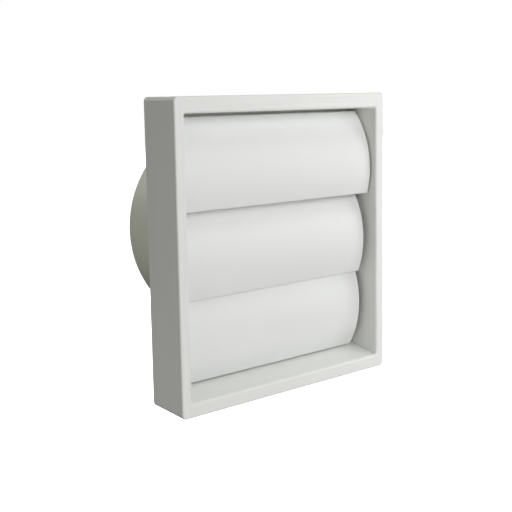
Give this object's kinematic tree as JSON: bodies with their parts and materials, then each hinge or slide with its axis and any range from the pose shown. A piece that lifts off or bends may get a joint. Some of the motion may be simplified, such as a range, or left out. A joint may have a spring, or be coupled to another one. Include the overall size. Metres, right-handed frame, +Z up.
{
  "type": "gravity flap wall outlet",
  "caption": "Square-edged wall outlet for an extract duct, with hinged curved flaps that blow open and fall shut in a moulded casing, and a round spigot behind",
  "frame": {"origin": "centre of the round duct spigot on the wall plane, which is the back of the casing", "axes": "+X right as seen from outside, +Y into the wall along the duct, +Z up"},
  "size_m": [0.15, 0.0766, 0.1713],
  "materials": {
    "casing": "white moulded plastic, satin",
    "back": "white moulded plastic, satin",
    "spigot": "off-white extruded plastic, satin",
    "flap": "white moulded plastic, fine satin",
    "axle": "drawn stainless wire"
  },
  "bodies": {
    "casing": {"outer_frame": "casing", "back_plate": "back", "duct_spigot": "spigot"},
    "top_flap": {"top_flap": "flap", "top_axle": "axle"},
    "middle_flap": {"middle_flap": "flap", "middle_axle": "axle"},
    "bottom_flap": {"bottom_flap": "flap", "bottom_axle": "axle"}
  },
  "joints": [
    {"name": "top_flap_hinge", "type": "hinge", "parent": "casing", "child": "top_flap", "pos_m": [0, -0.0125, 0.0651], "axis": [-1, 0, 0], "range_deg": [-5, 45]},
    {"name": "middle_flap_hinge", "type": "hinge", "parent": "casing", "child": "middle_flap", "pos_m": [0, -0.0125, 0.01665], "axis": [-1, 0, 0], "range_deg": [0, 38]},
    {"name": "bottom_flap_hinge", "type": "hinge", "parent": "casing", "child": "bottom_flap", "pos_m": [0, -0.0125, -0.0318], "axis": [-1, 0, 0], "range_deg": [0, 38]}
  ]
}
